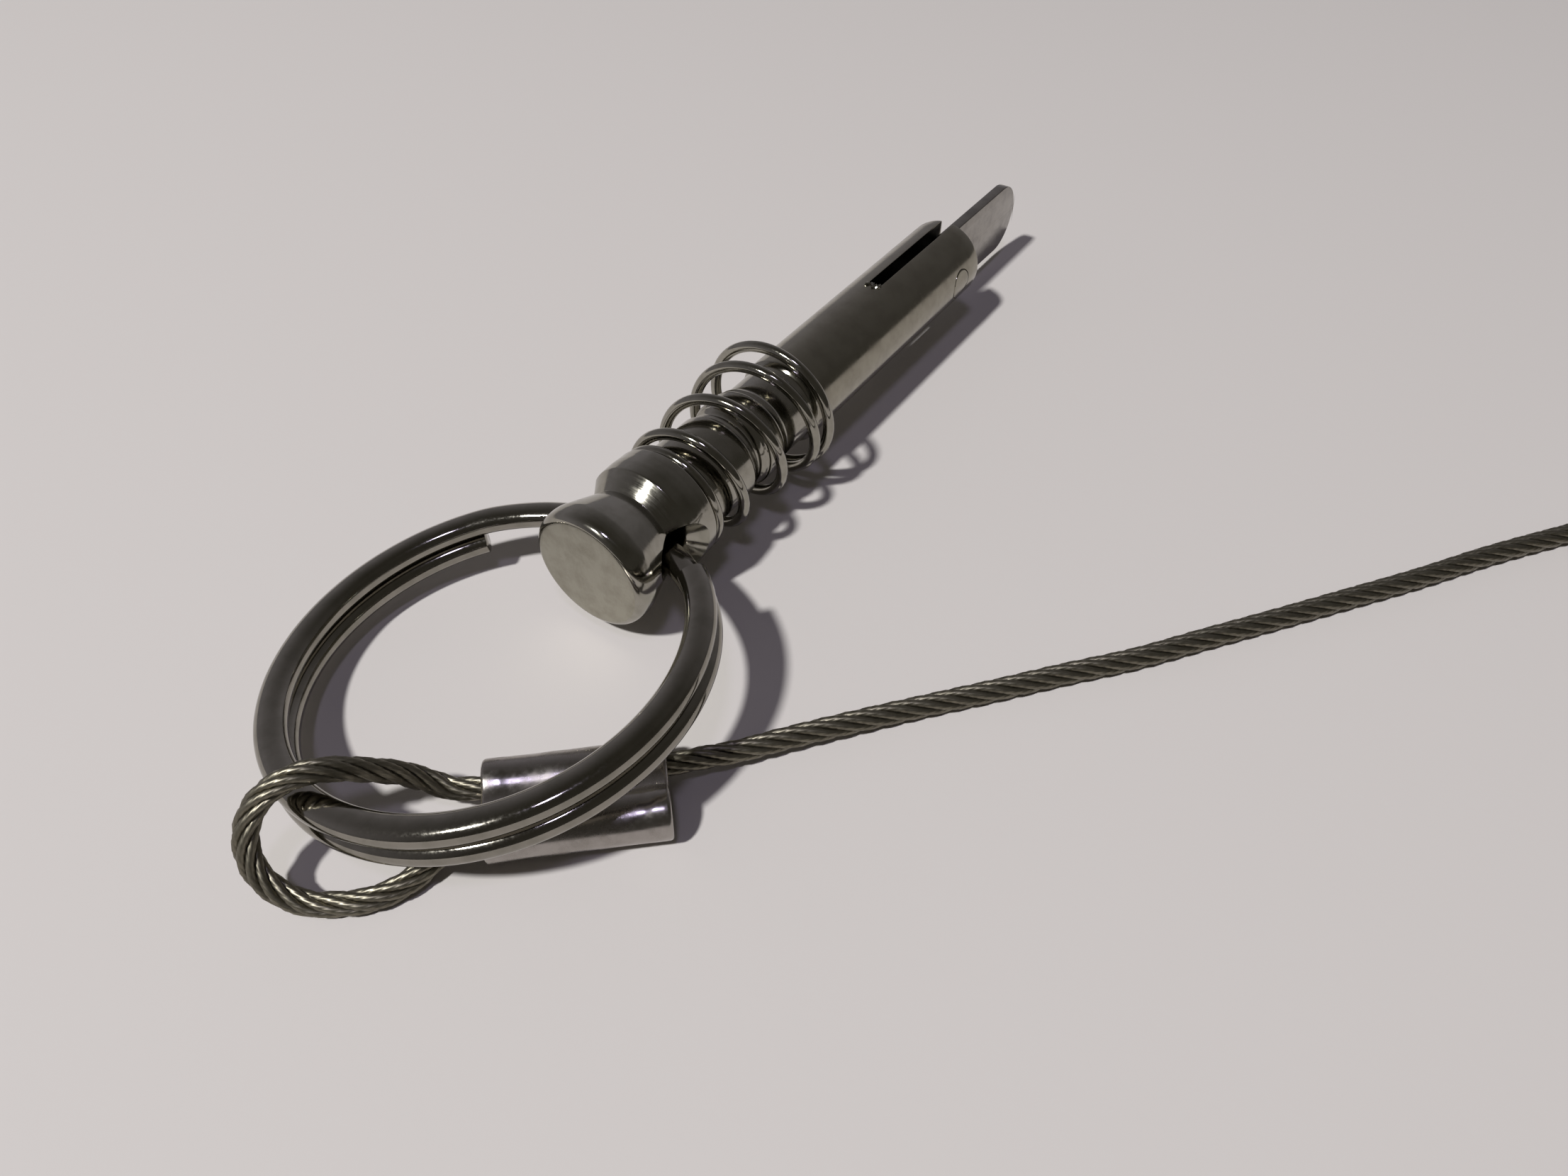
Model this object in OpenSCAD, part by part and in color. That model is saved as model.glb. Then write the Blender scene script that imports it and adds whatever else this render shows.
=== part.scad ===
// Quick release pin with a drop nose: a turned steel pin whose slotted end holds a pivoting blade,
// a conical spring behind its shoulder, and a split ring that carries a short wire rope lanyard.
// The pin's axis is X and the nose points along +X. The origin is on that axis, where the plain
// shank starts. The pin lies on a surface that is rest_height below its axis. Units: millimetres.

/* [Shank] */
// Diameter of the plain shank
shank_d = 6.35; // [6:0.05:7]
// Length of the plain shank, from the origin to the slotted end
shank_len = 24.2; // [23:0.1:30]
// Chamfer on the slotted end
end_chamfer = 0.3; // [0.1:0.05:0.5]

/* [Slot and blade] */
// Width of the slot that the blade folds into
slot_w = 1; // [0.95:0.05:1.2]
// Depth of the slot, measured along the pin
slot_depth = 12.2; // [11:0.1:14]
// Radius of the saw that cut the slot, which hollows its root
saw_r = 15; // [13:1:18]
// Thickness of the blade
blade_t = 0.88; // [0.7:0.02:0.88]
// Reach of the blade's tip beyond the slotted end
blade_reach = 12.1; // [11:0.1:13]
// Diameter of the blade's rivet
rivet_d = 2.3; // [2:0.05:2.6]
// Distance from the rivet to the slotted end
rivet_setback = 3.2; // [3:0.1:3.8]
// Running clearance between the rivet and the blade's bore, on the radius
rivet_clear = 0.05; // [0.03:0.01:0.08]

/* [Head] */
// Diameter of the head's flat face
face_d = 7.5; // [7:0.1:8]
// Largest diameter of the head's rim
rim_d = 8.2; // [8.1:0.1:8.6]
// Diameter at the waist behind the head
waist_d = 6.9; // [6.8:0.1:7.2]
// Largest diameter of the shoulder
shoulder_d = 8.1; // [7.9:0.1:8.4]
// Diameter of the cross hole that holds the split ring
cross_hole_d = 2.9; // [2.85:0.05:3]

/* [Spring] */
// Diameter of the spring's wire
wire_d = 0.75; // [0.6:0.05:0.75]
// Sides of the spring wire's section
wire_sides = 10; // [8:1:12]

/* [Split ring] */
// Mean diameter of the ring
ring_d = 24.1; // [23.8:0.1:24.4]
// Width of the ring's wire, across the ring
ring_wire_w = 1.8; // [1.6:0.05:1.8]
// Height of the ring's wire, along the ring's own axis
ring_wire_h = 1.4; // [1.3:0.05:1.4]
// Gap between the two turns
ring_turn_gap = 0.03; // [0.02:0.01:0.05]

/* [Lanyard] */
// Diameter of the wire rope
rope_d = 1.35; // [1.2:0.05:1.35]
// Length of a crimped ferrule
ferrule_len = 9.75; // [9:0.05:10]
// Outer diameter of each of a ferrule's two barrels
barrel_d = 3; // [2.8:0.05:3]
// Distance between a ferrule's two barrels
barrel_pitch = 3; // [2.9:0.05:3]

/* [Hidden] */
$fn = 96;
rest_height = 5;

// Stations along the pin, from the head's face to the shank
face_x = -20.5;
cross_x = -16;
shoulder_x = -12.85;
ridge_r = shank_d / 2;
seat_r = 3.1;
groove_r = 2.75;
neck_r = 2.85;
slot_root_x = shank_len - slot_depth;
rivet_x = shank_len - rivet_setback;

// Where the ferrules lie, and the way each points
near_at = [-31.13, -8.05];
near_turn = -47;
far_at = [24.3, -73.6];
far_turn = -125.8;
barrel_z = -rest_height + barrel_d / 2;
rope_clear = 0.02;

// The stored coil, beside the far end
coil_at = [24, -58.8];
coil_r = 7.4;
coil_turns_high = 2;
coil_exit_z = -rest_height + 1.5 * rope_d;
rope_z = -rest_height + rope_d / 2;

// Points of an arc in a plane, turning from angle a0 to angle a1
function arc(at, r, a0, a1, n = 10) =
    [for (i = [0 : n]) at + r * [cos(a0 + (a1 - a0) * i / n), sin(a0 + (a1 - a0) * i / n)]];

// Points of a cubic curve from p0 to p3, pulled towards p1 and p2
function bezier(p0, p1, p2, p3, n = 8) =
    [for (i = [0 : n]) let (t = i / n, s = 1 - t)
        s * s * s * p0 + 3 * s * s * t * p1 + 3 * s * t * t * p2 + t * t * t * p3];

// A point in a ferrule's own frame (u along it, v across it) set down where the ferrule lies
function placed(p, at, turn) =
    [at.x + p.x * cos(turn) - p.y * sin(turn), at.y + p.x * sin(turn) + p.y * cos(turn), p.z];

function unit(v) = v / norm(v);

function tangent(path, i) =
    unit(path[min(i + 1, len(path) - 1)] - path[max(i - 1, 0)]);

// A round tube swept along a path, with one ring of vertices on each point
module tube(path, d, sides) {
    up = [for (i = [0 : len(path) - 1]) abs(tangent(path, i).z) > 0.9 ? [1, 0, 0] : [0, 0, 1]];
    points = [for (i = [0 : len(path) - 1])
        let (t = tangent(path, i), a = unit(cross(up[i], t)), b = cross(t, a))
        for (k = [0 : sides - 1])
            path[i] + d / 2 * (cos(360 * k / sides) * a + sin(360 * k / sides) * b)];
    walls = [for (i = [0 : len(path) - 2]) for (k = [0 : sides - 1])
        let (n = (k + 1) % sides)
        [i * sides + k, (i + 1) * sides + k, (i + 1) * sides + n, i * sides + n]];
    first = [for (k = [0 : sides - 1]) k];
    last = [for (k = [sides - 1 : -1 : 0]) (len(path) - 1) * sides + k];
    polyhedron(points, concat(walls, [first], [last]));
}

// ---- Pin ---------------------------------------------------------------------------------

// Half section of the turned body, as [x, radius]
function body_outline() = concat(
    [[face_x, 0]],
    bezier([face_x, face_d / 2], [-20.35, 3.98], [-19.85, rim_d / 2], [-19.3, rim_d / 2], 6),
    bezier([-19.3, rim_d / 2], [-18.4, rim_d / 2], [-17.6, 3.65], [-16.7, waist_d / 2], 8),
    bezier([-16.2, waist_d / 2], [-15.7, 3.55], [-15.4, shoulder_d / 2], [-14.3, shoulder_d / 2], 8),
    [[shoulder_x - 0.1, shoulder_d / 2 - 0.12], [shoulder_x, shoulder_d / 2 - 0.25]],
    [[shoulder_x, seat_r], [-11.95, seat_r], [-11.85, ridge_r]],
    arc([-7.7, ridge_r - 0.5], 0.5, 90, 45, 5),
    arc([-6.6, groove_r + 0.6], 0.6, 215, 325, 10),
    arc([-5.6, ridge_r - 0.4], 0.4, 140, 90, 4),
    arc([-4.4, ridge_r - 0.5], 0.5, 90, 45, 5),
    arc([-3.3, neck_r + 0.6], 0.6, 225, 270, 4),
    [[-0.35, neck_r], [0, ridge_r]],
    [[shank_len - end_chamfer, ridge_r], [shank_len, ridge_r - end_chamfer], [shank_len, 0]]);

module along_x() {
    rotate([0, 90, 0])
        rotate([0, 0, 90])
            children();
}

module across_pin(x, d, length) {
    translate([x, 0, 0])
        rotate([90, 0, 0])
            cylinder(d = d, h = length, center = true);
}

// The hole for the split ring, with a countersunk mouth on each side
module cross_hole() {
    across_pin(cross_x, cross_hole_d, 3 * rim_d);
    for (side = [-1, 1])
        translate([cross_x, side * 2.6, 0])
            rotate([-90 * side, 0, 0])
                cylinder(d1 = cross_hole_d, d2 = cross_hole_d + 2.4, h = 1.8);
}

// The slot is cut from the end by a round saw, so its root is hollowed
module slot() {
    across_pin(slot_root_x + saw_r, 2 * saw_r, slot_w);
}

module pin_body() {
    color([0.72, 0.71, 0.69])
        difference() {
            along_x()
                rotate_extrude()
                    polygon([for (p = body_outline()) [p.y, p.x]]);
            cross_hole();
            slot();
            across_pin(rivet_x, rivet_d, 2 * shank_d);
        }
}

module blade_rivet() {
    color([0.66, 0.65, 0.63])
        intersection() {
            across_pin(rivet_x, rivet_d, 2 * shank_d);
            along_x()
                cylinder(d = shank_d, h = shank_len);
        }
}

// Side outline of the blade, as [x, z]: a round tail about the rivet and a rounded, raked tip
blade_top = 2.45;
blade_low = -3;
nose_low = -3.1;
tail_r = 2.75;
tip_x = shank_len + blade_reach;
function blade_outline() = concat(
    arc([rivet_x, (blade_top + blade_low) / 2], tail_r, 270, 90, 18),
    arc([tip_x - 2, blade_top - 2], 2, 90, -5, 12),
    arc([tip_x - 2.8, nose_low + 2.8], 2.8, 10, -90, 14),
    [[shank_len + 0.9, nose_low]]);

module nose_blade() {
    color([0.58, 0.57, 0.54])
        difference() {
            translate([0, blade_t / 2, 0])
                rotate([90, 0, 0])
                    linear_extrude(blade_t)
                        polygon(blade_outline());
            across_pin(rivet_x, rivet_d + 2 * rivet_clear, 2 * shank_d);
        }
}

// ---- Spring ------------------------------------------------------------------------------

// Place along the pin and mean radius of the wire at each whole turn, counted at the top.
// Both end turns are closed.
turn_x = [-12.42, -10.75, -6.95, -3.3, -1.1];
turn_r = [3.54, 3.7, 4.02, 4.38, 4.6];
// How far the bottom of each turn is pushed up towards the pin
turn_rise = [0, 0.02, 0.36, 0.58, 0.65];
first_turn = -0.45;
last_turn = 4.5;
rings_per_turn = 20;

// Value at a turn, by a cubic that runs smoothly through the list and stays flat past its ends
function at_turn(list, t) =
    let (n = len(list) - 1, c = min(max(t, 0), n), i = min(floor(c), n - 1), f = c - i)
    let (p1 = list[i], p2 = list[i + 1])
    let (m1 = i == 0 ? 0 : (p2 - list[i - 1]) / 2)
    let (m2 = i + 2 > n ? 0 : (list[i + 2] - p1) / 2)
    (2 * pow(f, 3) - 3 * f * f + 1) * p1 + (pow(f, 3) - 2 * f * f + f) * m1
        + (3 * f * f - 2 * pow(f, 3)) * p2 + (pow(f, 3) - f * f) * m2;

function spring_point(t) =
    let (a = 90 + 360 * t, low = pow((1 - sin(a)) / 2, 2))
    let (r = at_turn(turn_r, t) - low * at_turn(turn_rise, t))
    [at_turn(turn_x, t), r * cos(a), r * sin(a)];

// The wire is swept with its rings facing along the turn, so its section stays round
module spring() {
    count = round((last_turn - first_turn) * rings_per_turn);
    path = [for (i = [0 : count]) spring_point(first_turn + (last_turn - first_turn) * i / count)];
    points = [for (i = [0 : count])
        let (t = tangent(path, i), out = unit([0, path[i].y, path[i].z]))
        let (b = unit(cross(t, out)), a = cross(b, t))
        for (k = [0 : wire_sides - 1])
            path[i] + wire_d / 2 * (cos(360 * k / wire_sides) * a + sin(360 * k / wire_sides) * b)];
    walls = [for (i = [0 : count - 1]) for (k = [0 : wire_sides - 1])
        let (n = (k + 1) % wire_sides)
        [i * wire_sides + k, (i + 1) * wire_sides + k, (i + 1) * wire_sides + n, i * wire_sides + n]];
    first = [for (k = [0 : wire_sides - 1]) k];
    last = [for (k = [wire_sides - 1 : -1 : 0]) count * wire_sides + k];
    color([0.62, 0.61, 0.58])
        polyhedron(points, concat(walls, [first], [last]));
}

// ---- Split ring --------------------------------------------------------------------------

// The ring's frame: its centre is off the pin's head, and it leans towards the surface
ring_lean = [-10.5, -3, -2.3];
ring_step = ring_wire_h + ring_turn_gap;
end_a = 47.8;
end_b = -33.4;
crossing_turn = end_a - end_b;
// Angle that the lower turn's free end stops short of the crossing strand
end_short = 3;

module ring_section() {
    r = 0.62;
    for (i = [-1, 1]) {
        for (j = [-1, 1])
            translate([ring_d / 2 + i * (ring_wire_w / 2 - r), j * (ring_wire_h / 2 - r)])
                circle(r, $fn = 32);
    }
    translate([ring_d / 2 - ring_wire_w / 2, r - ring_wire_h / 2])
        square([ring_wire_w, ring_wire_h - 2 * r]);
    translate([ring_d / 2 - ring_wire_w / 2 + r, -ring_wire_h / 2])
        square([ring_wire_w - 2 * r, ring_wire_h]);
}

module ring_arc(from, to) {
    rotate([0, 0, from])
        rotate_extrude(angle = to - from, $fn = 120)
            ring_section();
}

// Two turns, one on the other. Where both ends stop, one strand crosses from the upper turn to
// the lower one, and that strand passes through the pin.
module split_ring() {
    middle = (end_a + end_b) / 2;
    slope = asin((ring_step / 2) / (ring_d / 2 * sin(crossing_turn / 2)));
    color([0.68, 0.67, 0.64])
        translate([cross_x, 0, 0])
            rotate(ring_lean)
                translate([-ring_d / 2, 0, 0]) {
                    translate([0, 0, ring_step / 2])
                        ring_arc(end_a - 0.3, 360 + end_b);
                    translate([0, 0, -ring_step / 2])
                        ring_arc(end_a + end_short, 360 + end_b + 0.3);
                    rotate([0, 0, middle])
                        rotate([slope, 0, 0])
                            ring_arc(-crossing_turn / 2, crossing_turn / 2);
                }
}

// ---- Lanyard -----------------------------------------------------------------------------

// A crimped sleeve of two joined barrels, lying flat
module ferrule(at, turn) {
    translate([at.x, at.y, barrel_z])
        rotate([0, 0, turn])
            rotate([0, 90, 0])
                translate([0, 0, -ferrule_len / 2])
                    difference() {
                        union() {
                            for (side = [-1, 1])
                                translate([0, side * barrel_pitch / 2, 0])
                                    cylinder(d = barrel_d, h = ferrule_len);
                            translate([-0.36 * barrel_d, -barrel_pitch / 2, 0])
                                cube([0.72 * barrel_d, barrel_pitch, ferrule_len]);
                        }
                        for (side = [-1, 1])
                            translate([0, side * barrel_pitch / 2, -1])
                                cylinder(d = rope_d, h = ferrule_len + 2);
                    }
}

module near_ferrule() {
    color([0.7, 0.7, 0.7])
        ferrule(near_at, near_turn);
}

module far_ferrule() {
    color([0.7, 0.7, 0.7])
        ferrule(far_at, far_turn);
}

// Centreline of the rope from its end in the near ferrule, round the eye that holds the split
// ring, back through the ferrule and along the surface to the coil
half = ferrule_len / 2;
offset_v = barrel_pitch / 2;
function near_point(u, side) = placed([u, side * offset_v, barrel_z], near_at, near_turn);
function far_point(u, side) = placed([u, side * offset_v, barrel_z], far_at, far_turn);

line_route = concat(
    [near_point(half - 0.5, -1), near_point(-half - 0.9, -1)],
    [[-37.4, -4.2, -3.9], [-38.7, -4, -4.2], [-40, -3.6, rope_z], [-41.3, -2.8, rope_z],
     [-42.2, -1.8, rope_z], [-43, -0.7, -4.2], [-43.5, 0.5, -3.7], [-43.6, 1.8, -2.7],
     [-43.1, 2.6, -1.4], [-42.3, 2.8, -0.3], [-41.4, 2.6, 0.5], [-40.5, 2.2, 0.9],
     [-39.6, 1.7, 1], [-38.8, 1.2, 0.8], [-37.9, 0.7, 0.2], [-36.9, 0.2, -0.7],
     [-35.8, -0.4, -1.8], [-35, -1.2, -2.8], [-34.4, -2.2, -3.4]],
    [near_point(-half - 0.4, 1), near_point(half + 0.3, 1)],
    [[-25.3, -11.7, -3.7], [-23.8, -12.9, -3.9], [-21.5, -14.6, -4], [-18, -17.3, -4.15],
     [-14.6, -20, rope_z], [-11.3, -22.8, rope_z], [-7.8, -25.7, rope_z],
     [-4.3, -28.7, rope_z], [-0.3, -31.7, rope_z], [3.8, -34.8, rope_z],
     [8.1, -38, rope_z], [12.7, -41.4, rope_z], [17.6, -44.8, rope_z],
     [22.5, -48.5, rope_z], [26, -51.2, rope_z], [28.3, -52.8, rope_z]]);

// Centreline from the coil to the far ferrule and round the far eye, in that ferrule's frame
end_eye = [[6.6, -1.7, -3.8], [9, -2.6, -4.2], [11.6, -4, rope_z], [14.4, -4.9, rope_z],
           [17.2, -4.5, rope_z], [19.4, -2.7, rope_z], [20.2, 0, rope_z], [19.4, 2.7, rope_z],
           [17.2, 4.5, rope_z], [14.4, 4.9, rope_z], [11.6, 4, rope_z], [9, 2.6, -4.2],
           [6.6, 1.7, -3.8]];
end_route = concat(
    [[30, -63.1, coil_exit_z], [28.9, -64.7, -3.05], [27.8, -66.2, -3.3]],
    [far_point(-half - 0.5, -1), far_point(half + 0.3, -1)],
    [for (p = end_eye) placed(p, far_at, far_turn)],
    [far_point(half + 0.3, 1), far_point(0.5 - half, 1)]);

rope_color = [0.45, 0.45, 0.43];

module rope_line() {
    color(rope_color)
        tube(line_route, rope_d - 2 * rope_clear, 8);
}

module rope_coil() {
    color(rope_color)
        translate([coil_at.x, coil_at.y, -rest_height])
            rotate_extrude()
                translate([coil_r - rope_d / 2, 0])
                    square([rope_d, coil_turns_high * rope_d]);
}

module rope_end() {
    color(rope_color)
        tube(end_route, rope_d - 2 * rope_clear, 8);
}

pin_body();
nose_blade();
blade_rivet();
spring();
split_ring();
near_ferrule();
rope_line();
rope_coil();
rope_end();
far_ferrule();
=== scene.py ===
"""Looks of the quick release pin: a turned steel pin with a drop nose, a conical spring, a split
ring and a short wire rope lanyard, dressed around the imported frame.

Shapes are written in millimetres and become metres as their meshes are made. The axes are the
frame's own: +X along the pin towards its nose, +Z up.
"""

import logging
from dataclasses import dataclass, field
from enum import Enum
from math import asin, ceil, cos, degrees, dist, pi, radians, sin, sqrt, tan
from typing import Callable, Sequence

import bmesh
import bpy
import numpy as np
from mathutils import Matrix, Vector


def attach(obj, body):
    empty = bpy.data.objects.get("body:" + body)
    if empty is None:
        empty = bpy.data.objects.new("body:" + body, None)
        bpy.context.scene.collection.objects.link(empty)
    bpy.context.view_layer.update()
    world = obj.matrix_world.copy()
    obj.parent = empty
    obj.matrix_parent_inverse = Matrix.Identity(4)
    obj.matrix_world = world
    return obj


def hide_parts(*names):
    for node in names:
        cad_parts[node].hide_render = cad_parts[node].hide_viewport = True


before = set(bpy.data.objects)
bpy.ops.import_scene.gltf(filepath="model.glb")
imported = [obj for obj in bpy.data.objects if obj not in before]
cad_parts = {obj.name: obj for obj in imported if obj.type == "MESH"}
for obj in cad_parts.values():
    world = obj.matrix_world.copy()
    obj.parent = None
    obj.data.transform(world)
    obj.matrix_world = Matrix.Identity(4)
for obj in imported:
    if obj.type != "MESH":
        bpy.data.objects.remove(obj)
log = logging.getLogger("quick_release_pin")

MM = 0.001
UM = 1e-6
REST_Z = -5.0 * MM
WELD = 2e-7
RENDER_PX = 2212
MIX_SHARE, MIX_FIRST, MIX_SECOND = 0, 6, 7

Pair = tuple[float, float]
Point = tuple[float, float, float]
Piece = bpy.types.Object
Tree = bpy.types.NodeTree
Socket = bpy.types.NodeSocket


class Body(str, Enum):
    """The bodies of the frame that pieces ride on."""

    PIN = "pin"
    BLADE = "blade"
    RING = "ring"


# ---- Colours, nodes and meshes


def linear(code: str) -> tuple[float, float, float, float]:
    """Turns an sRGB hex colour into linear red, green, blue and an alpha of 1."""
    parts = (int(code[i : i + 2], 16) / 255 for i in (1, 3, 5))
    return *(c / 12.92 if c <= 0.04045 else ((c + 0.055) / 1.055) ** 2.4 for c in parts), 1.0


def add(tree: Tree, kind: str, inputs: dict | None = None, **settings: object) -> bpy.types.Node:
    """Adds one node with its settings, values and links.

    Args:
        tree: The tree that gets the node.
        kind: The node's type name.
        inputs: Input name or number to a value, or to the output socket that feeds it.
        settings: Properties of the node.

    Returns:
        The new node.
    """
    node = tree.nodes.new(kind)
    for name, value in settings.items():
        setattr(node, name, value)
    for key, value in (inputs or {}).items():
        socket = node.inputs[key]
        if isinstance(value, Socket):
            tree.links.new(value, socket)
        else:
            socket.default_value = value
    return node


def placed(name: str, data: bpy.types.ID) -> Piece:
    """Makes the object of a mesh, a curve, a camera or a lamp, and links it to the scene.

    Args:
        name: The object's name.
        data: What it shows.

    Returns:
        The linked object.
    """
    piece = bpy.data.objects.new(name, data)
    bpy.context.scene.collection.objects.link(piece)
    return piece


def soften(piece: Piece, sharp_deg: float) -> None:
    """Shades a mesh smooth, apart from the edges that turn more than an angle."""
    piece.data.shade_smooth()
    piece.data.set_sharp_from_angle(angle=radians(sharp_deg))


def settle_normals(piece: Piece, sharp_deg: float) -> None:
    """Merges doubles, turns every face outwards and shades the mesh smooth between its edges.

    Args:
        piece: The piece, whose mesh is changed.
        sharp_deg: Edges that turn more than this stay sharp.
    """
    shape = bmesh.new()
    shape.from_mesh(piece.data)
    bmesh.ops.remove_doubles(shape, verts=shape.verts, dist=WELD)
    bmesh.ops.recalc_face_normals(shape, faces=shape.faces)
    shape.to_mesh(piece.data)
    shape.free()
    soften(piece, sharp_deg)


def mesh_object(name: str, verts: Sequence, faces: Sequence, sharp_deg: float = 35.0) -> Piece:
    """Makes a smooth-shaded mesh object at the origin.

    Args:
        name: The object's name.
        verts: Vertex places in millimetres.
        faces: Vertex numbers of each face.
        sharp_deg: Edges that turn more than this stay sharp.

    Returns:
        The linked object.
    """
    mesh = bpy.data.meshes.new(name)
    mesh.from_pydata((np.asarray(verts, float) * MM).tolist(), [], [list(f) for f in faces])
    mesh.validate()
    piece = placed(name, mesh)
    settle_normals(piece, sharp_deg)
    return piece


def final_mesh(piece: Piece) -> bpy.types.Mesh:
    """Makes a plain mesh of what a piece's modifiers, or its curve's bevel, make of it.

    Args:
        piece: The piece, which stays as it is.

    Returns:
        The mesh.
    """
    bpy.context.view_layer.update()
    done = piece.evaluated_get(bpy.context.evaluated_depsgraph_get())
    return bpy.data.meshes.new_from_object(done)


def bake(piece: Piece) -> Piece:
    """Turns a piece with modifiers into a plain mesh, and drops the modifiers.

    Args:
        piece: The piece.

    Returns:
        The same piece.
    """
    mesh = final_mesh(piece)
    piece.modifiers.clear()
    piece.data = mesh
    return piece


def turned(deg: float, axis: str) -> Matrix:
    """A turn of some degrees about one axis."""
    return Matrix.Rotation(radians(deg), 4, axis)


def circle(n: int) -> list[Pair]:
    """Cosines and sines of n even steps round a full turn."""
    return [(cos(a), sin(a)) for a in (2 * pi * i / n for i in range(n))]


def spun(profile: Sequence[Pair], sides: int) -> list[Point]:
    """Spins a profile of (along, radius) round its axis, into points (along, across, up)."""
    return [(along, r * c, r * s) for along, r in profile for c, s in circle(sides)]


def arc(x: float, y: float, r: float, a0: float, a1: float, n: int) -> list[Pair]:
    """Points of a flat arc from a0 to a1 degrees, n steps long."""
    turn = [radians(a0 + (a1 - a0) * i / n) for i in range(n + 1)]
    return [(x + r * cos(a), y + r * sin(a)) for a in turn]


def bezier(p: Sequence[Sequence[float]], n: int) -> list[tuple[float, ...]]:
    """Follows a cubic curve.

    Args:
        p: Its start, its two handles and its end.
        n: How many steps it has.

    Returns:
        Its points.
    """
    out = []
    for i in range(n + 1):
        t = i / n
        w = ((1 - t) ** 3, 3 * (1 - t) ** 2 * t, 3 * (1 - t) * t * t, t**3)
        out.append(tuple(sum(w[k] * p[k][j] for k in range(4)) for j in range(len(p[0]))))
    return out


def rounded(corners: Sequence[Point], n: int) -> list[Pair]:
    """Rounds the corners of an open outline.

    Args:
        corners: Each corner's x, y and radius.
        n: Steps along each rounding.

    Returns:
        The outline's points.
    """
    straight, most = radians(88), 0.49
    out = [tuple(corners[0][:2])]
    for before, here, after in zip(corners, corners[1:], corners[2:]):
        p, r = Vector(here[:2]), here[2]
        a, b = (Vector(before[:2]) - p), (Vector(after[:2]) - p)
        half = a.angle(b) / 2
        if r <= 0 or half > straight:
            out.append(tuple(p))
            continue
        cut = min(r / tan(half), most * a.length, most * b.length)
        start, end = p + a.normalized() * cut, p + b.normalized() * cut
        for i in range(n + 1):
            t = i / n
            out.append(tuple(start * (1 - t) ** 2 + 2 * p * t * (1 - t) + end * t * t))
    out.append(tuple(corners[-1][:2]))
    return out


def even(points: Sequence[Sequence[float]], step: float) -> np.ndarray:
    """Points at even steps along a smooth curve through the given ones.

    Args:
        points: The curve's own points.
        step: Distance between the new points.

    Returns:
        The new points, one to a row.
    """
    p = np.asarray(points, float)
    s = np.concatenate([[0], np.cumsum(np.linalg.norm(np.diff(p, axis=0), axis=1))])
    slope = np.gradient(p, s, axis=0)
    count, finer = max(2, int(round(s[-1] / step))), 4
    fine = np.linspace(0, s[-1], count * finer + 1)
    k = np.clip(np.searchsorted(s, fine, side="right") - 1, 0, len(s) - 2)
    gap = (s[k + 1] - s[k])[:, None]
    t = (fine - s[k])[:, None] / gap
    q = (
        (2 * t**3 - 3 * t**2 + 1) * p[k]
        + (t**3 - 2 * t**2 + t) * gap * slope[k]
        + (3 * t**2 - 2 * t**3) * p[k + 1]
        + (t**3 - t**2) * gap * slope[k + 1]
    )
    run = np.concatenate([[0], np.cumsum(np.linalg.norm(np.diff(q, axis=0), axis=1))])
    at = np.linspace(0, run[-1], count + 1)
    return np.stack([np.interp(at, run, q[:, j]) for j in range(3)], axis=1)


def hermite(values: Sequence[float], t: float) -> float:
    """Follows a cubic that runs smoothly through a list and stays flat past its ends.

    Args:
        values: The list.
        t: How far along the list, where 1 is one value on.

    Returns:
        The value there.
    """
    last = len(values) - 1
    c = min(max(t, 0.0), last)
    i = min(int(c), last - 1)
    f, p1, p2 = c - i, values[i], values[i + 1]
    m1 = 0.0 if i == 0 else (p2 - values[i - 1]) / 2
    m2 = 0.0 if i + 2 > last else (values[i + 2] - p1) / 2
    rise = (2 * f**3 - 3 * f * f + 1) * p1 + (f**3 - 2 * f * f + f) * m1
    return rise + (3 * f * f - 2 * f**3) * p2 + (f**3 - f * f) * m2


def shape_tree(name: str, sizes: dict[str, str]) -> tuple[Tree, Sequence[Socket], Socket]:
    """Starts a Geometry Nodes tree that takes a line and named sizes.

    Args:
        name: The tree's name.
        sizes: Each size's name and its socket type.

    Returns:
        The tree, its sizes and its line as a curve.
    """
    tree = bpy.data.node_groups.new(name, "GeometryNodeTree")
    for label, kind in {"Line": "NodeSocketGeometry", **sizes}.items():
        tree.interface.new_socket(label, in_out="INPUT", socket_type=kind)
    tree.interface.new_socket("Shape", in_out="OUTPUT", socket_type="NodeSocketGeometry")
    given = tree.nodes.new("NodeGroupInput").outputs
    line = add(tree, "GeometryNodeMeshToCurve", {"Mesh": given["Line"]}).outputs[0]
    return tree, given, line


def round_profile(tree: Tree, sides: int, radius: Socket) -> Socket:
    """Adds a round section for a sweep."""
    given = {"Resolution": sides, "Radius": radius}
    return add(tree, "GeometryNodeCurvePrimitiveCircle", given).outputs[0]


def swept(tree: Tree, line: Socket, profile: Socket) -> Socket:
    """Sweeps a closed section along a line and closes both ends."""
    given = {"Curve": line, "Profile Curve": profile, "Fill Caps": True}
    return add(tree, "GeometryNodeCurveToMesh", given).outputs[0]


def close_tree(tree: Tree, shape: Socket, material: bpy.types.Material) -> None:
    """Ends a tree with real geometry in one material.

    Args:
        tree: The tree.
        shape: The geometry.
        material: The material.
    """
    smooth = add(tree, "GeometryNodeSetShadeSmooth", {"Geometry": shape}).outputs[0]
    real = add(tree, "GeometryNodeRealizeInstances", {"Geometry": smooth}).outputs[0]
    given = {"Geometry": real, "Material": material}
    add(tree, "NodeGroupOutput", {0: add(tree, "GeometryNodeSetMaterial", given).outputs[0]})


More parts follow.
